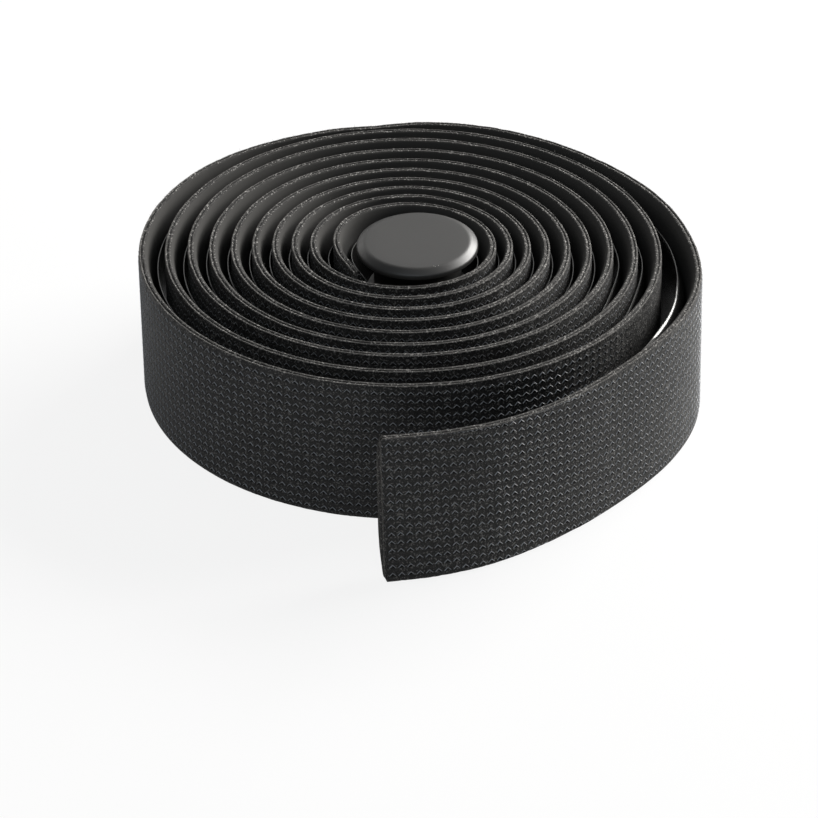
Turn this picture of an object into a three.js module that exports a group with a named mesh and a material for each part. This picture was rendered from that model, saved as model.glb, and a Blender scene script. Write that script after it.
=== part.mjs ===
// Handlebar tape roll: two metres of padded tape wound on edge into a loose spiral with its tail left
// free, the release liner still on its sticky inner face, and the bar end plug packed in the core.
// Millimetres, +Z up. The roll stands on the tape's lower edge, centred on its own outline.

import * as THREE from "three";

// Tape section
const TAPE_WIDTH = 30;
const EDGE_THICKNESS = 1.35;
const PAD_THICKNESS = 3;
const PAD_HEIGHT = 13;
const PAD_SHOULDER = 0.72;

// Release liner
const LINER_WIDTH = 22.5;
const LINER_THICKNESS = 0.15;
const LINER_OVERHANG_TURNS = 0.027;

// Bar end plug
const STEM_RADIUS = 8.5;
const STEM_WALL = 3;
const FIN_REACH = 1.3;
const FIN_COUNT = 4;
const FIN_HEIGHT = 2.4;
const LEAD_IN = 4;
const CAP_NECK = 5.5;
const CAP_OVERHANG = 1.95;
const CAP_LIFT = 0.25;
const CAP_RIM_HEIGHT = 0.9;
const CAP_BEVEL_HEIGHT = 0.95;
const CAP_BEVEL_WIDTH = 1.5;
const CAP_WALL = 2.6;

// Fits and facets
const CLEARANCE = 0.3;
const CORE_PLAY = 0.6;
const CHORD_ERROR = 0.15;
const PLUG_SEGMENTS = 40;

// Winding, clockwise seen from above, counted in turns from the tape's inner end
const TURNS = 9.86;
const START_AZIMUTH = 213;
const PITCH = 3.2;
const PITCH_GROWTH = 0.088;
const LEAN = { start: 3.31, perTurn: -0.13, azimuth: 119.45, azimuthPerTurn: 5.22 };
const OVAL = { start: 0.64, perTurn: 0.05, azimuth: -20.1 };
const UNEVEN_SPOTS = [
  { turn: -0.03, radial: 1.3, spread: 0.09 },
  { turn: 0.09, radial: -1.26, spread: 0.15 },
  { turn: 6.86, radial: -0.74, spread: 0.39 },
  { turn: 8.31, radial: -0.66, spread: 0.43 },
  { turn: TURNS - 0.575, radial: -1.15, spread: 0.1 },
  { turn: TURNS - 0.545, radial: -0.6, spread: 0.03 },
  { turn: TURNS - 0.51, radial: -2, spread: 0.26 },
  { turn: TURNS - 0.38, radial: -0.65, spread: 0.09 },
  { turn: TURNS - 0.228, radial: 1.15, spread: 0.075 },
  { turn: TURNS - 0.13, radial: -0.65, spread: 0.05 },
  { turn: TURNS - 0.055, radial: 0.45, spread: 0.04 },
  { turn: TURNS, radial: -0.45, spread: 0.03 },
];
const PAD_EASE_TURNS = 0.07;

// Free tail
const TAIL_TURNS = 0.48;
const TAIL_SPRING = 13.9;
const FLARE_TURNS = 0.1;
const TAIL_FLARE = 2.2;
const LINER_BOW = { turn: TURNS - 0.18, radial: -1, spread: 0.09 };

const { degToRad, lerp, smoothstep } = THREE.MathUtils;

// A smooth swelling or pinch around one place along the tape
function bellAt(turn, spot) {
  const reach = Math.min(1, Math.abs(turn - spot.turn) / spot.spread);
  return spot.radial * 0.5 * (1 + Math.cos(Math.PI * reach));
}

function azimuthAt(turn) {
  return degToRad(START_AZIMUTH - 360 * turn);
}

// How far the winding stands out beyond its start radius: even growth, lean, ovality and free tail
function windingGrowth(turn) {
  const azimuth = azimuthAt(turn);
  const leanAzimuth = degToRad(LEAN.azimuth + LEAN.azimuthPerTurn * turn);
  const lean = (LEAN.start + LEAN.perTurn * turn) * Math.cos(azimuth - leanAzimuth);
  const oval = (OVAL.start + OVAL.perTurn * turn) * Math.cos(2 * (azimuth - degToRad(OVAL.azimuth)));
  const even = PITCH * turn + PITCH_GROWTH * turn ** 2;
  const tail = TAIL_SPRING * Math.max(0, (turn - TURNS + TAIL_TURNS) / TAIL_TURNS) ** 3;
  const uneven = UNEVEN_SPOTS.reduce((sum, spot) => sum + bellAt(turn, spot), 0);
  return even + lean + oval + tail + uneven;
}

// The first turn lies round the plug's fins, with some play where the core is narrowest
const FIN_RADIUS = STEM_RADIUS + FIN_REACH;
const NARROWEST_FACE = FIN_RADIUS + CORE_PLAY + LINER_THICKNESS + CLEARANCE + PAD_THICKNESS;
const FIRST_TURN = Array.from({ length: 61 }, (_, step) => step / 60);
const START_RADIUS = NARROWEST_FACE - Math.min(...FIRST_TURN.map(windingGrowth));

// Distance of the tape's embossed outer face from the core's axis
function faceRadius(turn) {
  return START_RADIUS + windingGrowth(turn);
}

function radialAt(turn) {
  const azimuth = azimuthAt(turn);
  return new THREE.Vector2(Math.cos(azimuth), Math.sin(azimuth));
}

function facePoint(turn) {
  return radialAt(turn).multiplyScalar(faceRadius(turn));
}

// Unit vector out of the embossed face, square to the winding
function faceNormal(turn) {
  const halfStep = 0.001;
  const along = facePoint(turn + halfStep).sub(facePoint(turn - halfStep)).normalize();
  return new THREE.Vector2(-along.y, along.x);
}

// The padding is squeezed where a turn lies close on the one inside it
function padThickness(turn) {
  const wound = Math.max(turn, 1);
  const pitch = (faceRadius(wound) - faceRadius(wound - 1)) * faceNormal(wound).dot(radialAt(wound));
  const linerRoom = LINER_THICKNESS + 2 * (CLEARANCE + CHORD_ERROR);
  const squeezed = Math.min(PAD_THICKNESS, pitch - linerRoom);
  return lerp(PAD_THICKNESS, squeezed, smoothstep(turn, 1 - PAD_EASE_TURNS, 1));
}

// Near its end the tail's lower edge stands out further than its upper edge
function flareAt(turn, height) {
  return TAIL_FLARE * smoothstep(turn, TURNS - FLARE_TURNS, TURNS) * (1 - height / TAPE_WIDTH);
}

// Places along the tape, closer together where it curves more tightly
function tapeStations() {
  const turns = [0];
  while (turns.at(-1) < TURNS) {
    const facetAngle = 2 * Math.acos(1 - CHORD_ERROR / faceRadius(turns.at(-1)));
    turns.push(Math.min(turns.at(-1) + facetAngle / (2 * Math.PI), TURNS));
  }
  return turns;
}

// A section point given by its depth behind the embossed face and its height above the floor
function woundPoint(turn, depth, height) {
  const outward = faceNormal(turn).multiplyScalar(flareAt(turn, height) - depth);
  const place = facePoint(turn).add(outward);
  return new THREE.Vector3(place.x, place.y, height);
}

function capTriangles(ring) {
  const corners = ring.map(([depth, height]) => new THREE.Vector2(depth, height));
  return THREE.ShapeUtils.triangulateShape(corners, []);
}

// A closed strip wound along the spiral: a ring of section points at each station and a cap at each end
function woundStrip(turns, sectionAt) {
  const rings = turns.map((turn) => sectionAt(turn));
  const sides = rings[0].length;
  const positions = [];
  rings.forEach((ring, index) => {
    ring.forEach(([depth, height]) => positions.push(...woundPoint(turns[index], depth, height)));
  });
  const faces = [];
  for (let ring = 0; ring < rings.length - 1; ring += 1) {
    for (let side = 0; side < sides; side += 1) {
      const here = ring * sides + side;
      const next = ring * sides + (side + 1) % sides;
      faces.push(here, here + sides, next, next, here + sides, next + sides);
    }
  }
  const last = (rings.length - 1) * sides;
  capTriangles(rings[0]).forEach(([a, b, c]) => faces.push(a, b, c));
  capTriangles(rings.at(-1)).forEach(([a, b, c]) => faces.push(last + a, last + c, last + b));
  const geometry = new THREE.BufferGeometry();
  geometry.setAttribute("position", new THREE.Float32BufferAttribute(positions, 3));
  geometry.setIndex(faces);
  geometry.computeVertexNormals();
  return geometry;
}

// Tape section as [depth, height]: flat outside, padded inside between two thin edges
function tapeSection(turn) {
  const pad = padThickness(turn);
  const padLow = (TAPE_WIDTH - PAD_HEIGHT) / 2;
  const padHigh = (TAPE_WIDTH + PAD_HEIGHT) / 2;
  const shoulder = lerp(EDGE_THICKNESS, pad, PAD_SHOULDER);
  return [
    [0, 0],
    [EDGE_THICKNESS, 0],
    [shoulder, padLow / 2],
    [pad, padLow],
    [pad, padHigh],
    [shoulder, TAPE_WIDTH - padLow / 2],
    [EDGE_THICKNESS, TAPE_WIDTH],
    [0, TAPE_WIDTH],
  ];
}

function makeTape() {
  return woundStrip(tapeStations(), tapeSection);
}

// The liner lies on the padding, and stands off it where it bows into the gap under the tail
function linerSection(turn) {
  const outside = padThickness(turn) + CLEARANCE - bellAt(turn, LINER_BOW);
  const inside = outside + LINER_THICKNESS;
  const low = (TAPE_WIDTH - LINER_WIDTH) / 2;
  const high = (TAPE_WIDTH + LINER_WIDTH) / 2;
  return [[outside, low], [inside, low], [inside, high], [outside, high]];
}

function makeLiner() {
  return woundStrip([-LINER_OVERHANG_TURNS, ...tapeStations()], linerSection);
}

// One moulding: bevelled cap, hollow stem and the sloped fins that grip inside a handlebar
function makePlug() {
  const stemLength = TAPE_WIDTH + CAP_LIFT;
  const rimTop = stemLength + CAP_RIM_HEIGHT;
  const capTop = rimTop + CAP_BEVEL_HEIGHT;
  const boreRadius = STEM_RADIUS - STEM_WALL;
  const capRadius = FIN_RADIUS + CAP_OVERHANG;
  const finSpacing = (stemLength - LEAD_IN - CAP_NECK) / FIN_COUNT;
  const profile = [[0, capTop - CAP_WALL], [boreRadius, capTop - CAP_WALL], [boreRadius, 0]];
  profile.push([STEM_RADIUS, 0]);
  for (let fin = 0; fin < FIN_COUNT; fin += 1) {
    const foot = LEAD_IN + fin * finSpacing;
    const top = foot + FIN_HEIGHT;
    profile.push([STEM_RADIUS, foot], [FIN_RADIUS, top], [STEM_RADIUS, top]);
  }
  profile.push([STEM_RADIUS, stemLength], [capRadius, stemLength], [capRadius, rimTop]);
  profile.push([capRadius - CAP_BEVEL_WIDTH, capTop], [0, capTop]);
  const points = profile.map(([radius, height]) => new THREE.Vector2(radius, height));
  return new THREE.LatheGeometry(points, PLUG_SEGMENTS).rotateX(Math.PI / 2);
}

function addPiece(group, name, geometry, finish) {
  const piece = new THREE.Mesh(geometry, new THREE.MeshStandardMaterial(finish));
  piece.name = name;
  group.add(piece);
}

const tapeRoll = new THREE.Group();
addPiece(tapeRoll, "tape", makeTape(), { color: 0x2b2a2a, roughness: 0.85, metalness: 0 });
addPiece(tapeRoll, "release_liner", makeLiner(), { color: 0x3a3938, roughness: 0.25, metalness: 0 });
addPiece(tapeRoll, "bar_end_plug", makePlug(), { color: 0x55524f, roughness: 0.5, metalness: 0 });

const outline = new THREE.Box3().setFromObject(tapeRoll);
const middle = outline.getCenter(new THREE.Vector3());
tapeRoll.position.set(-middle.x, -middle.y, 0);

export default tapeRoll;
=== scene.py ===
"""Looks of a handlebar tape roll: embossed padded tape wound on edge, its liner and its bar end plug."""

import math

import bpy
import numpy as np
from mathutils import Matrix, Vector


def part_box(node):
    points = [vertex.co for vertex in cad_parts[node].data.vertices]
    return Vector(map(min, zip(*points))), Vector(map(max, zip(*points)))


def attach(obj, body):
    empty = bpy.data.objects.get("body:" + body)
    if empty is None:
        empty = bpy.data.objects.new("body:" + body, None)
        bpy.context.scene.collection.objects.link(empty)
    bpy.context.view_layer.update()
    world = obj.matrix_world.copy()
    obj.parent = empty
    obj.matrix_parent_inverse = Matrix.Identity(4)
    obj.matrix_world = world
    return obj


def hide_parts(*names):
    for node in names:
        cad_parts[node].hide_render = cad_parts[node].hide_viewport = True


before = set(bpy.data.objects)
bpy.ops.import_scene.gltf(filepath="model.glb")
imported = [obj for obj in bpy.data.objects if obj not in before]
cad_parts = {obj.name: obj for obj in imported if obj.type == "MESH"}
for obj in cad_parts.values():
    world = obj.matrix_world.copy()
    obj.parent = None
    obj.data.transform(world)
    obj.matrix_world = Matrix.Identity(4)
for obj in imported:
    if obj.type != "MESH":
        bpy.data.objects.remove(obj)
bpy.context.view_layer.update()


# Camera
# The roll is seen from above its front through a long lens, rolled by a degree, with no shift.
# The winding's axis is the plug's axis, and sizes below are in millimetres from that axis.

MM = 0.001
AIM_RIGHT = -2.134
AIM_BACK = -1.831
AIM_HEIGHT = -5.641
CAMERA_ELEVATION = 33.4
CAMERA_ROLL = 0.999
CAMERA_DISTANCE = 0.9804
LENS = 219.5
SENSOR_WIDTH = 36

plug_low, plug_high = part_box("bar_end_plug")
axis_x = (plug_low.x + plug_high.x) / 2 / MM
axis_y = (plug_low.y + plug_high.y) / 2 / MM
aim = Vector((axis_x + AIM_RIGHT, axis_y + AIM_BACK, AIM_HEIGHT)) * MM
elevation = math.radians(CAMERA_ELEVATION)
lean = math.radians(CAMERA_ROLL)
forward = Vector((0, math.cos(elevation), -math.sin(elevation)))
level_up = Vector((0, math.sin(elevation), math.cos(elevation)))
level_right = Vector((1, 0, 0))
camera_right = level_right * math.cos(lean) - level_up * math.sin(lean)
camera_up = level_right * math.sin(lean) + level_up * math.cos(lean)
camera_turn = Matrix((camera_right, camera_up, -forward)).transposed().to_4x4()
camera_data = bpy.data.cameras.new("camera")
camera_data.sensor_width = SENSOR_WIDTH
camera_data.lens = LENS
camera_data.clip_start = 0.05
camera_data.clip_end = 20
camera = bpy.data.objects.new("camera", camera_data)
camera.matrix_world = Matrix.Translation(aim - forward * CAMERA_DISTANCE) @ camera_turn
bpy.context.scene.collection.objects.link(camera)
bpy.context.scene.camera = camera
bpy.context.scene.view_settings.view_transform = "Standard"


# The tape
# Two metres of padded bar tape: a thin embossed polyurethane skin on a foam back, slit to 30 mm.
# It is wound on edge from its inner end round the plug, and its last half turn springs free.

TURNS = 9.86
TAPE_WIDTH = 30
EDGE_THICKNESS = 1.35
PAD_THICKNESS = 3
PAD_HEIGHT = 13
LINER_THICKNESS = 0.15
CLEARANCE = 0.3
CHORD_ERROR = 0.15
FIN_RADIUS = 9.8
CORE_PLAY = 0.6
START_AZIMUTH = 213
PITCH = 3.2
PITCH_GROWTH = 0.088
TAIL_TURNS = 0.48
TAIL_SPRING = 13.9
FLARE_TURNS = 0.1
TAIL_FLARE = 2.2
TAIL_LEAN = 0.9
UNEVEN_SPOTS = [(-0.03, 1.3, 0.09), (0.09, -1.26, 0.15), (6.86, -0.74, 0.39), (8.31, -0.66, 0.43)]
UNEVEN_SPOTS += [(TURNS - 0.575, -1.15, 0.1), (TURNS - 0.545, -0.6, 0.03), (TURNS - 0.51, -2, 0.26)]
UNEVEN_SPOTS += [(TURNS - 0.38, -0.65, 0.09), (TURNS - 0.228, 1.15, 0.075), (TURNS - 0.13, -0.65, 0.05)]
UNEVEN_SPOTS += [(TURNS - 0.055, 0.45, 0.04), (TURNS, -0.45, 0.03)]


def smooth(value, low, high):
    """Rises from 0 at low to 1 at high, level at both ends."""
    share = np.clip((value - low) / (high - low), 0, 1)
    return share * share * (3 - 2 * share)


def bell(turn, middle, radial, spread):
    """A smooth swelling or dent around one place along the tape."""
    reach = np.minimum(1, np.abs(turn - middle) / spread)
    return radial * 0.5 * (1 + np.cos(np.pi * reach))


def azimuth_at(turn):
    return np.radians(START_AZIMUTH - 360 * turn)


def winding_growth(turn):
    """How far the winding stands out beyond its start: even growth, lean, ovality, free tail, dents."""
    azimuth = azimuth_at(turn)
    lean_out = (3.31 - 0.13 * turn) * np.cos(azimuth - np.radians(119.45 + 5.22 * turn))
    oval = (0.64 + 0.05 * turn) * np.cos(2 * (azimuth + np.radians(20.1)))
    tail = TAIL_SPRING * np.maximum(0, (turn - TURNS + TAIL_TURNS) / TAIL_TURNS) ** 3
    uneven = sum(bell(turn, *spot) for spot in UNEVEN_SPOTS)
    return PITCH * turn + PITCH_GROWTH * turn**2 + lean_out + oval + tail + uneven


core_face = FIN_RADIUS + CORE_PLAY + LINER_THICKNESS + CLEARANCE + PAD_THICKNESS
start_radius = core_face - winding_growth(np.linspace(0, 1, 61)).min()


def face_radius(turn):
    return start_radius + winding_growth(turn)


def face_point(turn):
    """The embossed face's place seen from above, and the radial direction there."""
    azimuth = azimuth_at(turn)
    radial = np.stack([np.cos(azimuth), np.sin(azimuth)], -1)
    return radial * face_radius(turn)[..., None], radial


def face_frame(turn):
    """The face's place, the unit vector out of it and the radial direction, at turns along the tape."""
    place, radial = face_point(turn)
    along = face_point(turn + 0.001)[0] - face_point(turn - 0.001)[0]
    along /= np.linalg.norm(along, axis=-1, keepdims=True)
    return place, np.stack([-along[..., 1], along[..., 0]], -1), radial


def pad_thickness(turn):
    """The padding is squeezed where a turn lies close on the one inside it."""
    wound = np.maximum(turn, 1)
    _, outward, radial = face_frame(wound)
    pitch = (face_radius(wound) - face_radius(wound - 1)) * (outward * radial).sum(-1)
    squeezed = np.minimum(PAD_THICKNESS, pitch - LINER_THICKNESS - 2 * (CLEARANCE + CHORD_ERROR))
    ease = smooth(turn, 0.93, 1)
    return PAD_THICKNESS * (1 - ease) + squeezed * ease


def wound_place(turn, depth, height):
    """Points in metres, given by turn, depth behind the embossed face and height above the floor."""
    place, outward, _ = face_frame(turn)
    spread = TAIL_FLARE - (TAIL_FLARE + TAIL_LEAN) * height / TAPE_WIDTH
    flare = smooth(turn, TURNS - FLARE_TURNS, TURNS) * spread
    flat = place + outward * (flare - depth)[..., None]
    flat = flat + np.array([axis_x, axis_y])
    return np.concatenate([flat, height[..., None]], -1) * MM


# Distance along the tape from its inner end, against turns; a run is counted back from the free end
fine_turns = np.linspace(-0.03, TURNS, 20001)
fine_places = face_point(fine_turns)[0]
steps = np.linalg.norm(np.diff(fine_places, axis=0), axis=1)
fine_runs = np.concatenate([[0], np.cumsum(steps)])
tape_end_run = fine_runs[-1]
tape_length = float(tape_end_run - np.interp(0, fine_turns, fine_runs))


def turn_at(run):
    return np.interp(tape_end_run - run, fine_runs, fine_turns)


# The embossing: rows of raised chevrons, each with a small pit under it. Over the last 5 cm the rows
# climb towards the free end, because the tape was slit at a slight angle there.
CHEVRON_PITCH = 1.7
ROW_PITCH = 1.686
LEG_REACH = 0.63
LEG_DROP = 0.62
FIRST_APEX = 1.81
FIRST_ROW = 1.33
CLIMB = 1.9
CLIMB_EASE = 0.00145
PIT_LENGTH = 0.75
CREST_RISE = 0.15
CREST_FOOT_RISE = 0.13
PIT_SINK = 0.18
PIT_FOOT_SINK = 0.05
EDGE_MARGIN = 0.32
RELIEF_RUN = 400
RELIEF_FADE = 30


def row_climb(run):
    return np.maximum(CLIMB - CLIMB_EASE * run**2, -ROW_PITCH)


def relief_columns():
    """Runs of the mesh columns over the relief, and how far each lies from its chevron's apex."""
    count = int((RELIEF_RUN - FIRST_APEX) / CHEVRON_PITCH)
    apex_runs = FIRST_APEX + CHEVRON_PITCH * np.arange(count)
    runs = (apex_runs[:, None] + np.array([-LEG_REACH, 0, LEG_REACH])).ravel()
    feet = np.tile([1.0, 0.0, 1.0], count)
    first = np.array([0.0, FIRST_APEX - CHEVRON_PITCH + LEG_REACH])
    return np.concatenate([first, runs]), np.concatenate([[0.17, 1.0], feet])


def relief_lines(runs, feet):
    """Depth below the upper edge and outward level of the face's lines, from the lower edge up."""
    fade = 1 - smooth(runs, RELIEF_RUN - RELIEF_FADE, RELIEF_RUN - 3)
    rows = np.arange(-1, 18)[::-1]
    crest = FIRST_ROW + ROW_PITCH * rows[None, :] - row_climb(runs)[:, None]
    crest = crest + LEG_DROP * feet[:, None]
    foot = feet[:, None] * np.ones(len(rows))
    ramp_end = crest + PIT_LENGTH * (1 - foot) + 0.24 * foot
    pit = crest + 0.1
    lip = crest - 0.16
    down = np.stack([ramp_end, pit, crest, lip], -1).reshape(len(runs), -1)
    pit_level = -PIT_SINK * (1 - foot) - PIT_FOOT_SINK * foot
    crest_level = CREST_RISE * (1 - foot) + CREST_FOOT_RISE * foot
    flat = np.zeros_like(foot)
    level = np.stack([flat, pit_level, crest_level, flat], -1).reshape(len(runs), -1)
    low, high = TAPE_WIDTH - EDGE_MARGIN, EDGE_MARGIN
    pinched = np.where(down > low, low + 0.1 * np.tanh((down - low) / 3), down)
    pinched = np.where(down < high, high + 0.1 * np.tanh((down - high) / 3), pinched)
    level = level * smooth(down, high - 0.05, high + 0.15)
    level = level * (1 - smooth(down, low - 0.15, low + 0.05))
    level = level * fade[:, None]
    return down, pinched, level


noise = np.random.default_rng(41)


def wander(count, spacing, reach):
    """Smooth random numbers along the columns: a new one every few columns, with a curve between."""
    knots = noise.uniform(-reach, reach, count // spacing + 3)
    where = np.arange(count) / spacing
    before = where.astype(int)
    share = smooth(where - before, 0, 1)
    return knots[before] * (1 - share) + knots[before + 1] * share


def edge_lines(count, upper):
    """Depths and heights across a slit edge: the skin's rim, the groove at the foam, the foam's rim."""
    depth = np.array([0.07, 0.2, 0.4, 0.56, 0.72, 0.98, 1.22])
    sink = np.array([0.17, 0.03, 0.06, 0.24, 0.08, 0.0, 0.1])
    rough = np.array([0.03, 0.05, 0.05, 0.05, 0.05, 0.05, 0.03])
    ragged = rough * noise.uniform(-0.6, 1, (count, len(depth)))
    depths = depth + ragged * noise.choice([-1, 1], (count, 1)) + wander(count, 4, 0.04)[:, None]
    sinks = sink + np.abs(ragged) + np.abs(wander(count, 5, 0.05))[:, None]
    heights = TAPE_WIDTH - sinks if upper else sinks
    return depths, heights


def back_lines(turns):
    """Depths and heights down the foam back, from the upper edge to the lower one."""
    heights = np.array([29.6, 28.4, 26.8, 24.6, 21.5, 8.5, 5.4, 3.2, 1.6, 0.4])
    reach = (TAPE_WIDTH - PAD_HEIGHT) / 2
    inset = np.minimum(1, np.minimum(heights, TAPE_WIDTH - heights) / reach)
    swell = np.sin(inset * np.pi / 2)
    pads = pad_thickness(turns)[:, None]
    depths = EDGE_THICKNESS + (pads - EDGE_THICKNESS) * swell
    return depths, np.broadcast_to(heights, depths.shape)


def section_points(runs, face_down, face_level):
    """Places, depths and heights of closed rings: face upwards, upper edge, back, lower edge."""
    turns = turn_at(runs)
    count = len(runs)
    top_depth, top_height = edge_lines(count, True)
    back_depth, back_height = back_lines(turns)
    low_depth, low_height = edge_lines(count, False)
    depth = np.concatenate([-face_level, top_depth, back_depth, low_depth[:, ::-1]], 1)
    height = np.concatenate([TAPE_WIDTH - face_down, top_height, back_height, low_height[:, ::-1]], 1)
    spread = np.broadcast_to(turns[:, None], depth.shape)
    return wound_place(spread, depth, height), depth, height


SKIN, CUT_EDGE, FOAM_BACK, WOUND_SKIN = range(4)
EDGE_COUNT = 7
BACK_COUNT = 10
TAIL_CUT_SLANT = 0.27
TAIL_CUT_BACK = 0.5
TAIL_WEAR = 0.7
TAIL_WORN_HEIGHT = 0.96
INNER_STEP = 1.6
END_MAP_SCALE = 0.4


def side_kinds(face_count, skin):
    """Material of each side of the ring that starts at a point, in ring order."""
    kinds = [skin] * face_count + [CUT_EDGE] * (EDGE_COUNT - 1)
    return kinds + [FOAM_BACK] * (BACK_COUNT + 1) + [CUT_EDGE] * (EDGE_COUNT - 1) + [skin]


vertices = []
faces = []
face_kinds = []
face_maps = []


def add_strip(first, sides, runs, pattern, depth, kinds):
    """Quads between neighbouring rings, with the tape map in millimetres on each corner."""
    for column in range(len(runs) - 1):
        here = first + column * sides
        for side in range(sides):
            after = (side + 1) % sides
            corners = [(column, side), (column, after), (column + 1, after), (column + 1, side)]
            faces.append([first + at * sides + row for at, row in corners])
            face_kinds.append(kinds[side])
            across = depth if kinds[side] == CUT_EDGE else pattern
            face_maps.extend((runs[at], across[at, row]) for at, row in corners)


def make_tape():
    """Outer turns with the embossing in the mesh, then plain inner turns, joined between the two."""
    runs, feet = relief_columns()
    down, pinched, level = relief_lines(runs, feet)
    places, depth, height = section_points(runs, pinched, level)
    # The free end is cut askew, and its corners are worn
    end_along = face_frame(np.array(TURNS))[1][::-1] * [1, -1]
    places[0, :, :2] += end_along * (TAIL_CUT_SLANT * depth[0][:, None] - TAIL_CUT_BACK) * MM
    places[0, :, 2] = (TAIL_WEAR + places[0, :, 2] / MM * TAIL_WORN_HEIGHT) * MM
    face_count = down.shape[1]
    sides = places.shape[1]
    pattern = TAPE_WIDTH - height
    pattern[:, :face_count] = down
    pattern = pattern + row_climb(runs)[:, None] - FIRST_ROW
    vertices.append(places.reshape(-1, 3))
    kinds = side_kinds(face_count, SKIN)
    add_strip(0, sides, runs, pattern, depth, kinds)
    tail_ring = list(range(sides))
    faces.append(tail_ring)
    face_kinds.append(CUT_EDGE)
    face_maps.extend((height[0, row], END_MAP_SCALE * depth[0, row]) for row in tail_ring)

    inner_count = int((tape_length - runs[-1]) / INNER_STEP)
    inner_runs = np.linspace(runs[-1] + INNER_STEP, tape_length, inner_count)
    inner_down = np.tile([TAPE_WIDTH - 0.42, 0.42], (len(inner_runs), 1))
    inner_level = np.zeros_like(inner_down)
    inner_places, inner_depth, inner_height = section_points(inner_runs, inner_down, inner_level)
    inner_sides = inner_places.shape[1]
    inner_pattern = TAPE_WIDTH - inner_height + row_climb(inner_runs)[:, None] - FIRST_ROW
    start = len(places) * sides
    vertices.append(inner_places.reshape(-1, 3))
    inner_kinds = side_kinds(2, WOUND_SKIN)
    add_strip(start, inner_sides, inner_runs, inner_pattern, inner_depth, inner_kinds)

    # The many lines of the embossed face gather into the two lines of the plain one
    last = (len(runs) - 1) * sides
    middle = face_count // 2
    for row in range(face_count - 1):
        near = start if row < middle else start + 1
        inner_row = 0 if row < middle else 1
        faces.append([last + row, last + row + 1, near])
        face_kinds.append(SKIN)
        for corner in (row, row + 1):
            face_maps.append((runs[-1], pattern[-1, corner]))
        face_maps.append((inner_runs[0], inner_pattern[0, inner_row]))
    faces.append([last + middle, start + 1, start])
    face_kinds.append(WOUND_SKIN)
    face_maps.append((runs[-1], pattern[-1, middle]))
    face_maps.append((inner_runs[0], inner_pattern[0, 1]))
    face_maps.append((inner_runs[0], inner_pattern[0, 0]))
    offset = face_count - 2
    for side in range(face_count - 1, sides):
        after = (side + 1) % sides
        inner_after = (side - offset + 1) % inner_sides
        corners = [last + side, last + after, start + inner_after, start + side - offset]
        faces.append(corners)
        face_kinds.append(kinds[side])
        across = depth if kinds[side] == CUT_EDGE else pattern
        inner_across = inner_depth if kinds[side] == CUT_EDGE else inner_pattern
        face_maps.append((runs[-1], across[-1, side]))
        face_maps.append((runs[-1], across[-1, after]))
        face_maps.append((inner_runs[0], inner_across[0, inner_after]))
        face_maps.append((inner_runs[0], inner_across[0, side - offset]))
    end = start + (len(inner_runs) - 1) * inner_sides
    inner_ring = list(range(inner_sides))[::-1]
    faces.append([end + row for row in inner_ring])
    face_kinds.append(CUT_EDGE)
    for row in inner_ring:
        face_maps.append((inner_height[-1, row], END_MAP_SCALE * inner_depth[-1, row]))


def mesh_object(name, places, polygons, materials, kinds=None, maps=None, sharp=None):
    mesh = bpy.data.meshes.new(name)
    mesh.from_pydata([tuple(place) for place in places], [], polygons)
    for material in materials:
        mesh.materials.append(material)
    mesh.polygons.foreach_set("use_smooth", [True] * len(polygons))
    if kinds is not None:
        mesh.polygons.foreach_set("material_index", kinds)
    if maps is not None:
        layer = mesh.uv_layers.new(name="tape_run")
        layer.uv.foreach_set("vector", np.array(maps, np.float32).ravel())
    if sharp is not None:
        mesh.set_sharp_from_angle(angle=math.radians(sharp))
    mesh.update()
    item = bpy.data.objects.new(name, mesh)
    bpy.context.scene.collection.objects.link(item)
    return item


def add_node(tree, kind, inputs=None, **settings):
    node = tree.nodes.new(kind)
    for name, value in settings.items():
        setattr(node, name, value)
    for key, value in (inputs or {}).items():
        if isinstance(value, bpy.types.NodeSocket):
            tree.links.new(value, node.inputs[key])
        else:
            node.inputs[key].default_value = value
    return node


def sum_up(tree, operation, *values, clamp=False):
    inputs = dict(enumerate(values))
    return add_node(tree, "ShaderNodeMath", inputs, operation=operation, use_clamp=clamp).outputs[0]


def ramp(tree, value, low, high, start=0.0, end=1.0):
    inputs = {"Value": value, "From Min": low, "From Max": high, "To Min": start, "To Max": end}
    node = add_node(tree, "ShaderNodeMapRange", inputs, interpolation_type="SMOOTHSTEP")
    return node.outputs["Result"]


def blend(tree, share, first, second):
    node = add_node(tree, "ShaderNodeMix", {"Factor": share}, data_type="RGBA")
    for socket, value in (("A", first), ("B", second)):
        target = next(item for item in node.inputs if item.name == socket and item.type == "RGBA")
        if isinstance(value, bpy.types.NodeSocket):
            tree.links.new(value, target)
        else:
            target.default_value = (*value, 1)
    return next(item for item in node.outputs if item.type == "RGBA")


def new_group(name, takes, gives):
    group = bpy.data.node_groups.new(name, "ShaderNodeTree")
    for label, kind, value in takes:
        socket = group.interface.new_socket(label, in_out="INPUT", socket_type=kind)
        if value is not None:
            socket.default_value = value
    for label, kind in gives:
        group.interface.new_socket(label, in_out="OUTPUT", socket_type=kind)
    taken = group.nodes.new("NodeGroupInput").outputs
    given = group.nodes.new("NodeGroupOutput").inputs
    return group, taken, given


def use_group(tree, group, inputs):
    return add_node(tree, "ShaderNodeGroup", inputs, node_tree=group).outputs


def new_material(name, roughness, specular=0.5):
    material = bpy.data.materials.new(name)
    material.use_nodes = True
    tree = material.node_tree
    shader = tree.nodes["Principled BSDF"]
    shader.inputs["Roughness"].default_value = roughness
    shader.inputs["Specular IOR Level"].default_value = specular
    return material, tree, shader


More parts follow.
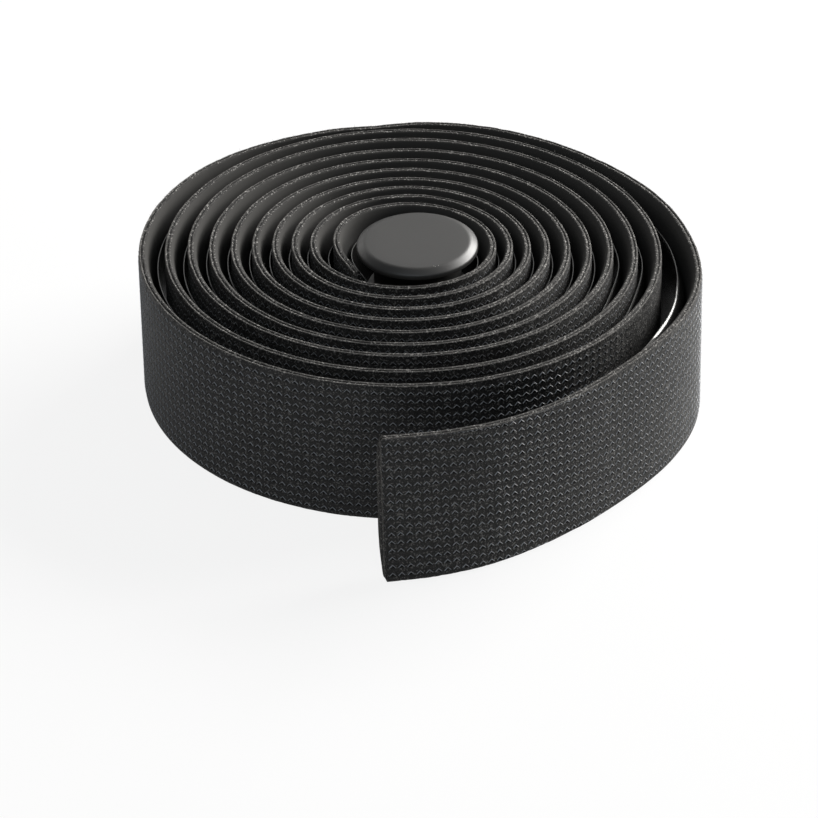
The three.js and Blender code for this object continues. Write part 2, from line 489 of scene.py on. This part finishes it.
def add_bump(tree, shader, height, strength=1.0):
    """Height is in millimetres."""
    inputs = {"Height": height, "Distance": MM, "Strength": strength}
    bump = add_node(tree, "ShaderNodeBump", inputs)
    tree.links.new(bump.outputs["Normal"], shader.inputs["Normal"])


FLOAT = "NodeSocketFloat"
VECTOR = "NodeSocketVector"

# Chevron embossing drawn on the tape map: crests, pits and their height in millimetres
chevrons, taken, given = new_group(
    "chevron_emboss",
    [("Tape Map", VECTOR, None)],
    [("Crest", FLOAT), ("Pit", FLOAT), ("Height", FLOAT)],
)
parts = add_node(chevrons, "ShaderNodeSeparateXYZ", {0: taken["Tape Map"]}).outputs
cell = sum_up(chevrons, "DIVIDE", sum_up(chevrons, "SUBTRACT", parts["X"], FIRST_APEX), CHEVRON_PITCH)
cell = sum_up(chevrons, "FRACT", sum_up(chevrons, "ADD", cell, 1000.5))
apex_gap = sum_up(chevrons, "ABSOLUTE", sum_up(chevrons, "SUBTRACT", cell, 0.5))
apex_gap = sum_up(chevrons, "MULTIPLY", apex_gap, CHEVRON_PITCH)
leg_drop = sum_up(chevrons, "MULTIPLY", apex_gap, LEG_DROP / LEG_REACH)
below = sum_up(chevrons, "SUBTRACT", parts["Y"], leg_drop)
below = sum_up(chevrons, "DIVIDE", below, ROW_PITCH)
below = sum_up(chevrons, "FRACT", sum_up(chevrons, "ADD", below, 10))
below = sum_up(chevrons, "MULTIPLY", below, ROW_PITCH)
above = sum_up(chevrons, "SUBTRACT", ROW_PITCH, below)
upper_flank = ramp(chevrons, above, 0.08, 0.2, 1.0, 0.0)
lower_flank = ramp(chevrons, below, 0.0, 0.06, 1.0, 0.0)
crest_fade = sum_up(chevrons, "MAXIMUM", upper_flank, lower_flank)
on_leg = ramp(chevrons, apex_gap, LEG_REACH - 0.08, LEG_REACH + 0.05, 1.0, 0.0)
crest_line = sum_up(chevrons, "MULTIPLY", crest_fade, on_leg)
pit_end = sum_up(chevrons, "SUBTRACT", PIT_LENGTH, apex_gap)
pit_wall = ramp(chevrons, below, 0.06, 0.15)
pit_floor = ramp(chevrons, sum_up(chevrons, "SUBTRACT", pit_end, below), -0.05, 0.3)
pit_shape = sum_up(chevrons, "MULTIPLY", sum_up(chevrons, "MULTIPLY", pit_wall, pit_floor), on_leg)
rise = sum_up(chevrons, "MULTIPLY", crest_line, 0.12)
relief = sum_up(chevrons, "SUBTRACT", rise, sum_up(chevrons, "MULTIPLY", pit_shape, 0.17))
chevrons.links.new(crest_line, given["Crest"])
chevrons.links.new(pit_shape, given["Pit"])
chevrons.links.new(relief, given["Height"])

# Fine leathery grain with bright specks of dust, in object space
grain, taken, given = new_group(
    "fine_grain",
    [("Grain Size mm", FLOAT, 0.3), ("Speck Share", FLOAT, 0.1)],
    [("Grain", FLOAT), ("Specks", FLOAT), ("Patches", FLOAT)],
)
spot = add_node(grain, "ShaderNodeTexCoord").outputs["Object"]
fine_scale = sum_up(grain, "DIVIDE", 1000.0, taken["Grain Size mm"])
fine_noise = add_node(grain, "ShaderNodeTexNoise", {"Vector": spot, "Scale": fine_scale, "Detail": 2.0})
speck_noise = add_node(grain, "ShaderNodeTexNoise", {"Vector": spot, "Scale": 2600.0, "Detail": 1.0})
speck_low = sum_up(grain, "SUBTRACT", 0.75, taken["Speck Share"])
speck_high = sum_up(grain, "ADD", speck_low, 0.07)
specks = ramp(grain, speck_noise.outputs["Fac"], speck_low, speck_high)
patch_noise = add_node(grain, "ShaderNodeTexNoise", {"Vector": spot, "Scale": 130.0, "Detail": 3.0})
grain.links.new(fine_noise.outputs["Fac"], given["Grain"])
grain.links.new(specks, given["Specks"])
grain.links.new(patch_noise.outputs["Fac"], given["Patches"])


def skin_material(name, emboss_depth):
    """Embossed polyurethane skin. Its chevrons are in the mesh, or in the bump at emboss_depth; their crests
    carry a painted highlight and their pits painted shade.
    """
    material, tree, shader = new_material(name, 0.6, 0.33)
    shader.inputs["Coat Roughness"].default_value = 0.3
    tape_map = add_node(tree, "ShaderNodeUVMap", uv_map="tape_run").outputs["UV"]
    emboss = use_group(tree, chevrons, {"Tape Map": tape_map})
    leather = use_group(tree, grain, {"Grain Size mm": 0.28, "Speck Share": 0.17})
    base = blend(tree, leather["Patches"], (0.005, 0.005, 0.005), (0.009, 0.0088, 0.0085))
    base = blend(tree, ramp(tree, leather["Grain"], 0.45, 0.7), base, (0.03, 0.0295, 0.0287))
    # Painted shade: the pits under the crests are darkened in the colour, standing in for the shade that
    # falls into them
    base = blend(tree, sum_up(tree, "MULTIPLY", emboss["Pit"], 0.9), base, (0.001, 0.001, 0.001))
    run = add_node(tree, "ShaderNodeSeparateXYZ", {0: tape_map}).outputs["X"]
    # Painted highlight: the crest lines are painted a pale cool grey for the glint of the cool front light
    # on them, faint within a few centimetres of where the meshed relief ends
    off_flat = sum_up(tree, "ABSOLUTE", sum_up(tree, "SUBTRACT", run, RELIEF_RUN))
    crest = sum_up(tree, "MULTIPLY", emboss["Crest"], ramp(tree, off_flat, 10.0, 35.0, 0.15, 1.0))
    base = blend(tree, sum_up(tree, "MULTIPLY", crest, 0.95), base, (0.22, 0.232, 0.25))
    dust = sum_up(tree, "MULTIPLY", leather["Specks"], 0.65)
    base = blend(tree, dust, base, (0.15, 0.146, 0.14))
    tree.links.new(base, shader.inputs["Base Color"])
    shine = sum_up(tree, "MULTIPLY_ADD", leather["Grain"], 0.25, 0.5)
    shine = sum_up(tree, "SUBTRACT", shine, sum_up(tree, "MULTIPLY", crest, 0.4))
    shine = sum_up(tree, "MULTIPLY_ADD", emboss["Pit"], 0.4, shine, clamp=True)
    tree.links.new(shine, shader.inputs["Roughness"])
    tree.links.new(sum_up(tree, "MULTIPLY", crest, 0.9), shader.inputs["Coat Weight"])
    height = sum_up(tree, "MULTIPLY", leather["Grain"], 0.08)
    add_bump(tree, shader, sum_up(tree, "MULTIPLY_ADD", emboss["Height"], emboss_depth, height))
    return material


def cut_edge_material():
    """The slit edge: ragged skin and foam fibres, paler than the faces, with a dark line between."""
    material, tree, shader = new_material("cut_edge_fuzz", 0.9, 0.3)
    tape_map = add_node(tree, "ShaderNodeUVMap", uv_map="tape_run").outputs["UV"]
    parts = add_node(tree, "ShaderNodeSeparateXYZ", {0: tape_map}).outputs
    leather = use_group(tree, grain, {"Grain Size mm": 0.22, "Speck Share": 0.16})
    stretch = {0: tape_map, 1: (1.7, 2.6, 1)}
    stretched = add_node(tree, "ShaderNodeVectorMath", stretch, operation="MULTIPLY").outputs[0]
    streaks = add_node(tree, "ShaderNodeTexNoise", {"Vector": stretched, "Scale": 1.6, "Detail": 3.0})
    off_skin = sum_up(tree, "ABSOLUTE", sum_up(tree, "SUBTRACT", parts["Y"], 0.2))
    off_foam = sum_up(tree, "ABSOLUTE", sum_up(tree, "SUBTRACT", parts["Y"], 0.95))
    skin_line = ramp(tree, off_skin, 0.08, 0.24, 1.0, 0.0)
    foam_line = ramp(tree, off_foam, 0.06, 0.3, 1.0, 0.0)
    lines = sum_up(tree, "MAXIMUM", skin_line, sum_up(tree, "MULTIPLY", foam_line, 0.55))
    fuzz = ramp(tree, streaks.outputs["Fac"], 0.34, 0.66)
    light = sum_up(tree, "MULTIPLY_ADD", fuzz, 0.7, 0.3)
    light = sum_up(tree, "MULTIPLY", light, sum_up(tree, "MULTIPLY_ADD", lines, 0.9, 0.1))
    base = blend(tree, light, (0.008, 0.0078, 0.0075), (0.095, 0.091, 0.086))
    base = blend(tree, sum_up(tree, "MULTIPLY", leather["Specks"], 0.7), base, (0.3, 0.29, 0.277))
    tree.links.new(base, shader.inputs["Base Color"])
    add_bump(tree, shader, sum_up(tree, "MULTIPLY", leather["Grain"], 0.09))
    return material


def foam_material():
    """Closed foam back: even and dull, with a paler band of painted light along its upper edge, for the
    light reaching into the top of the gaps between turns.
    """
    material, tree, shader = new_material("foam_back", 0.85, 0.15)
    tape_map = add_node(tree, "ShaderNodeUVMap", uv_map="tape_run").outputs["UV"]
    parts = add_node(tree, "ShaderNodeSeparateXYZ", {0: tape_map}).outputs
    edge_gap = sum_up(tree, "ADD", parts["Y"], FIRST_ROW + ROW_PITCH)
    leather = use_group(tree, grain, {"Grain Size mm": 0.2, "Speck Share": 0.02})
    base = blend(tree, leather["Patches"], (0.011, 0.0108, 0.0105), (0.016, 0.0157, 0.0152))
    # Painted light: the top few millimetres are painted paler where light reaches into the gaps between
    # turns, and the foam lower down stays dark as painted shade
    base = blend(tree, ramp(tree, edge_gap, 0.4, 3.5, 0.9, 0.0), base, (0.038, 0.037, 0.0352))
    tree.links.new(base, shader.inputs["Base Color"])
    add_bump(tree, shader, sum_up(tree, "MULTIPLY", leather["Grain"], 0.02))
    return material


make_tape()
tape_materials = [skin_material("embossed_skin", 0.0), cut_edge_material(), foam_material()]
tape_materials.append(skin_material("wound_skin", 1.0))
tape_places = np.concatenate(vertices)
tape = mesh_object("wound_tape", tape_places, faces, tape_materials, face_kinds, face_maps, 38)
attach(tape, "root")
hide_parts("tape")


# The release liner
# A thin glossy film that covers the adhesive down the middle of the tape's back.
# It is wound in with the tape, bows off it under the free tail, and its upper edge curls in.

LINER_WIDTH = 22.5
LINER_OVERHANG_TURNS = 0.027
BOW_DEPTH = 1.25
BOW_BEFORE_END = 0.213
BOW_SPREAD = 0.075
CURL_DEPTH = 0.2
LIP_HEIGHT = 24.7
LIP_REACH = 1.55


def liner_depth(turn, height):
    """Depth behind the tape's face: on the padding, off it under the tail, curled in at the top."""
    off_bow = np.abs(turn - TURNS + BOW_BEFORE_END) / BOW_SPREAD
    bow = BOW_DEPTH * np.clip(1.5 * (1 - off_bow), 0, 1)
    curl = CURL_DEPTH + bell(turn, TURNS - 1.225, 0.7, 0.05) + bell(turn, TURNS - 2.225, 0.7, 0.05)
    lip = np.clip((height - LIP_HEIGHT) / LIP_REACH, 0, 1) ** 1.5
    return pad_thickness(turn) + CLEARANCE + bow * (0.05 + 0.95 * lip) + curl * lip


def make_liner():
    turns = np.linspace(-LINER_OVERHANG_TURNS, TURNS, 1500)
    low = (TAPE_WIDTH - LINER_WIDTH) / 2
    high = (TAPE_WIDTH + LINER_WIDTH) / 2
    heights = np.array([low, 15, 23.2, LIP_HEIGHT, 25.0, 25.3, 25.6, 25.9, high])
    rows, columns = np.meshgrid(heights, turns)
    outer = liner_depth(columns, rows)
    depth = np.concatenate([outer, outer[:, ::-1] + LINER_THICKNESS], 1)
    height = np.concatenate([rows, rows[:, ::-1]], 1)
    spread = np.broadcast_to(turns[:, None], depth.shape)
    places = wound_place(spread, depth, height)
    sides = depth.shape[1]
    polygons = []
    for column in range(len(turns) - 1):
        for side in range(sides):
            here = column * sides + side
            there = column * sides + (side + 1) % sides
            polygons.append([here, here + sides, there + sides, there])
    polygons.append(list(range(sides)))
    last = (len(turns) - 1) * sides
    polygons.append([last + side for side in range(sides)][::-1])
    return places.reshape(-1, 3), polygons


def liner_material():
    material, tree, shader = new_material("liner_film", 0.22, 0.4)
    leather = use_group(tree, grain, {"Grain Size mm": 1.5, "Speck Share": 0.0})
    base = blend(tree, leather["Patches"], (0.008, 0.0078, 0.0076), (0.013, 0.0128, 0.0124))
    spot = add_node(tree, "ShaderNodeTexCoord").outputs["Object"]
    level = add_node(tree, "ShaderNodeSeparateXYZ", {0: spot}).outputs["Z"]
    # Painted highlight: the film's top few tenths of a millimetre are painted paler where its edge catches
    # the light
    rim = ramp(tree, level, 0.0259, 0.02615)
    base = blend(tree, rim, base, (0.09, 0.088, 0.085))
    tree.links.new(base, shader.inputs["Base Color"])
    tree.links.new(ramp(tree, leather["Patches"], 0.3, 0.7, 0.2, 0.27), shader.inputs["Roughness"])
    add_bump(tree, shader, sum_up(tree, "MULTIPLY", leather["Grain"], 0.02), 0.6)
    return material


liner_places, liner_faces = make_liner()
liner = mesh_object("liner_film", liner_places, liner_faces, [liner_material()], sharp=40)
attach(liner, "root")
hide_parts("release_liner")


# The bar end plug
# One satin moulding that closes the bar's end: a bevelled cap on a hollow stem with sloped grip fins.
# It stands in the roll's core, and its cap covers the innermost turn's foam.

STEM_RADIUS = 8.5
STEM_LENGTH = 30.25
BORE_RADIUS = 5.5
FIN_COUNT = 4
FIN_HEIGHT = 2.4
LEAD_IN = 4
CAP_NECK = 5.5
CAP_RADIUS = 11.75
RIM_TOP = 31.15
CAP_TOP = 32.1
CAP_WALL = 2.6
BEVEL_WIDTH = 1.5


def rounded(before, corner, after, radius, count=5):
    """Points of a small round at a profile corner."""
    start = np.array(before, float) - corner
    end = np.array(after, float) - corner
    start *= radius / np.linalg.norm(start)
    end *= radius / np.linalg.norm(end)
    share = np.linspace(0, 1, count)[:, None]
    return list(np.array(corner) + start * (1 - share) ** 2 + end * share**2)


def plug_profile():
    ceiling = CAP_TOP - CAP_WALL
    points = [(0.0, ceiling), (BORE_RADIUS - 0.6, ceiling), (BORE_RADIUS, ceiling - 0.6), (BORE_RADIUS, 0.0)]
    points += [(STEM_RADIUS - 0.3, 0.0), (STEM_RADIUS, 0.3)]
    fin_step = (STEM_LENGTH - LEAD_IN - CAP_NECK) / FIN_COUNT
    for fin in range(FIN_COUNT):
        foot = LEAD_IN + fin * fin_step
        crown = foot + FIN_HEIGHT
        points += [(STEM_RADIUS, foot), (FIN_RADIUS - 0.1, crown - 0.2), (FIN_RADIUS, crown - 0.1)]
        points += [(FIN_RADIUS - 0.1, crown), (STEM_RADIUS, crown)]
    points.append((STEM_RADIUS, STEM_LENGTH))
    under = (CAP_RADIUS, STEM_LENGTH)
    rim = (CAP_RADIUS, RIM_TOP)
    brow = (CAP_RADIUS - BEVEL_WIDTH, CAP_TOP)
    points += rounded((STEM_RADIUS, STEM_LENGTH), under, rim, 0.15)
    points += rounded(under, rim, brow, 0.35)
    points += rounded(rim, brow, (0, CAP_TOP), 0.5)
    points += [(8.0, CAP_TOP), (4.0, CAP_TOP), (0.0, CAP_TOP)]
    return points


def lathe(profile, count):
    """A closed turned shape from a profile that starts and ends on the axis."""
    inner = profile[1:-1]
    angles = np.linspace(0, 2 * np.pi, count, endpoint=False)
    places = [(0, 0, profile[0][1])]
    for radius, height in inner:
        places += [(radius * np.cos(a), radius * np.sin(a), height) for a in angles]
    places.append((0, 0, profile[-1][1]))
    polygons = []
    for step in range(count):
        after = (step + 1) % count
        polygons.append([0, 1 + after, 1 + step])
        for level in range(len(inner) - 1):
            low = 1 + level * count
            high = low + count
            polygons.append([low + step, low + after, high + after, high + step])
        top = 1 + (len(inner) - 1) * count
        polygons.append([top + step, top + after, len(places) - 1])
    return (np.array(places) + [axis_x, axis_y, 0]) * MM, polygons


def plug_material():
    material, tree, shader = new_material("satin_plug", 0.42)
    leather = use_group(tree, grain, {"Grain Size mm": 0.25, "Speck Share": 0.0})
    base = blend(tree, leather["Patches"], (0.017, 0.0168, 0.0164), (0.021, 0.0206, 0.0201))
    tree.links.new(base, shader.inputs["Base Color"])
    tree.links.new(ramp(tree, leather["Patches"], 0.3, 0.7, 0.43, 0.48), shader.inputs["Roughness"])
    add_bump(tree, shader, sum_up(tree, "MULTIPLY", leather["Grain"], 0.012))
    return material


plug_places, plug_faces = lathe(plug_profile(), 128)
plug = mesh_object("end_plug", plug_places, plug_faces, [plug_material()], sharp=35)
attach(plug, "root")
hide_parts("bar_end_plug")


# Fibres along the slit edges
# Short ends of foam and skin that the slitting knife pulls up, with a few longer hairs of lint.
# They stand on the tape's upper edge and are part of the tape.

FIBRE_COUNT = 9500
FIBRE_RADIUS = 0.022


def add_spike(places, polygons, base, tip, radius):
    """A thin closed spike with three sides."""
    along = tip - base
    aside = np.cross(along, [0.3, 0.5, 0.81])
    aside /= np.linalg.norm(aside)
    other = np.cross(along / np.linalg.norm(along), aside)
    first = len(places)
    for angle in np.radians([0, 120, 240]):
        places.append(base + radius * (np.cos(angle) * aside + np.sin(angle) * other))
    places.append(tip)
    polygons += [[first, first + 1, first + 3], [first + 1, first + 2, first + 3]]
    polygons += [[first + 2, first, first + 3], [first, first + 2, first + 1]]


def make_fibres(count):
    runs = noise.uniform(0, tape_length, count)
    skin_side = noise.random(count) < 0.5
    depths = np.where(skin_side, noise.normal(0.22, 0.08, count), noise.normal(1.0, 0.12, count))
    turns = turn_at(runs)
    heights = np.full(count, TAPE_WIDTH - 0.16)
    bases = wound_place(turns, depths, heights)
    length = np.minimum(0.8, 0.1 + noise.exponential(0.11, count))
    sideways = noise.normal(0, 0.5, (count, 2))
    lift = noise.uniform(0.5, 1, count)
    direction = np.concatenate([sideways, lift[:, None]], 1)
    direction /= np.linalg.norm(direction, axis=1, keepdims=True)
    tips = bases + direction * (length + 0.12)[:, None] * MM
    places = []
    polygons = []
    for base, tip in zip(bases, tips):
        add_spike(places, polygons, base, tip, FIBRE_RADIUS * MM)
    return places, polygons


def fibre_material():
    material, tree, shader = new_material("edge_fibre", 0.8, 0.3)
    leather = use_group(tree, grain, {"Grain Size mm": 0.6, "Speck Share": 0.0})
    share = ramp(tree, leather["Grain"], 0.4, 0.6)
    base = blend(tree, share, (0.03, 0.029, 0.027), (0.1, 0.096, 0.09))
    tree.links.new(base, shader.inputs["Base Color"])
    return material


fibre_places, fibre_faces = make_fibres(FIBRE_COUNT)
fibres = mesh_object("edge_fibres", fibre_places, fibre_faces, [fibre_material()])
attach(fibres, "root")


# Dust on the cap
# Three pale specks lie at the front of the plug's cap, where its bevel starts.
# They are flakes about a fifth of a millimetre across.

SPECKS = [(-72.5, 10.0, 0.1), (-71, 10.25, 0.08), (-67, 10.1, 0.12)]


def make_dust():
    """Specks given by azimuth in degrees, distance from the cap's centre and radius."""
    places = []
    polygons = []
    for azimuth, reach, radius in SPECKS:
        toward = np.array([np.cos(np.radians(azimuth)), np.sin(np.radians(azimuth)), 0])
        base = (toward * reach + [axis_x, axis_y, CAP_TOP - 0.1]) * MM
        tip = base + np.array([0.02, 0, 0.16]) * MM
        add_spike(places, polygons, base, tip, radius * MM)
    return places, polygons


def dust_material():
    material, _, shader = new_material("pale_dust", 0.8, 0.3)
    shader.inputs["Base Color"].default_value = (0.6, 0.58, 0.55, 1)
    return material


dust_places, dust_faces = make_dust()
dust = mesh_object("cap_dust", dust_places, dust_faces, [dust_material()])
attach(dust, "root")


# The floor and the light
# A wide pale floor that keeps the roll's soft shadow, a strong softbox at the right, behind the roll,
# a weak one at the left behind, a cool one over the front, and a dim wide one at the back.

FLOOR_REACH = 6.0
GLOW_SHARE = 0.86
MIRRORED_GLOW = 0.5


def plain_floor():
    """White to the camera and half as bright in reflections, with a share of the roll's real shadow."""
    reach = FLOOR_REACH
    corners = [(-reach, -reach, 0), (reach, -reach, 0), (reach, reach, 0), (-reach, reach, 0)]
    material = bpy.data.materials.new("pale_floor")
    material.use_nodes = True
    tree = material.node_tree
    shader = tree.nodes["Principled BSDF"]
    shader.inputs["Base Color"].default_value = (0.65, 0.65, 0.65, 1)
    shader.inputs["Roughness"].default_value = 0.9
    shader.inputs["Specular IOR Level"].default_value = 0.1
    path = add_node(tree, "ShaderNodeLightPath").outputs
    mirrored = sum_up(tree, "MULTIPLY", path["Is Glossy Ray"], MIRRORED_GLOW)
    seen = sum_up(tree, "MAXIMUM", path["Is Camera Ray"], mirrored)
    seen = sum_up(tree, "MAXIMUM", seen, path["Is Transmission Ray"])
    glow = add_node(tree, "ShaderNodeEmission", {"Color": (1, 1, 1, 1), "Strength": 1.0})
    share = sum_up(tree, "MULTIPLY", seen, GLOW_SHARE)
    mixed = add_node(tree, "ShaderNodeMixShader", {0: share, 1: shader.outputs[0], 2: glow.outputs[0]})
    tree.links.new(mixed.outputs[0], tree.nodes["Material Output"].inputs["Surface"])
    return mesh_object("floor", corners, [[0, 1, 2, 3]], [material])


plain_floor()


LAMP_TARGET = Vector((0, 0, 0.02))


def softbox(name, place, width, height, level, colour):
    """level is the brightness that the lamp gives to a white surface square to it, at its target."""
    data = bpy.data.lights.new(name, "AREA")
    data.shape = "RECTANGLE"
    data.size = width
    data.size_y = height
    place = Vector(place)
    toward = LAMP_TARGET - place
    data.energy = level * math.pi**2 * toward.length_squared
    data.color = colour
    lamp = bpy.data.objects.new(name, data)
    lamp.rotation_euler = toward.to_track_quat("-Z", "Y").to_euler()
    lamp.location = place
    bpy.context.scene.collection.objects.link(lamp)


softbox("right_softbox", (0.58, 0.435, 0.4), 0.62, 0.34, 3.0, (1, 0.985, 0.96))
softbox("left_softbox", (-0.45, 0.62, 0.26), 0.4, 0.25, 0.12, (1, 0.985, 0.96))
softbox("front_softbox", (-0.1, -0.45, 0.72), 0.5, 0.2, 0.2, (0.85, 0.93, 1))
softbox("back_softbox", (0.0, 0.72, 0.48), 0.8, 0.4, 0.15, (1, 0.99, 0.97))

world = bpy.data.worlds.new("studio")
bpy.context.scene.world = world
world.use_nodes = True
sky_tree = world.node_tree
sky = sky_tree.nodes["Background"]
sky.inputs["Color"].default_value = (1, 1, 1, 1)
sky_path = add_node(sky_tree, "ShaderNodeLightPath").outputs
sky_tree.links.new(ramp(sky_tree, sky_path["Is Camera Ray"], 0, 1, 0.15, 1.0), sky.inputs["Strength"])
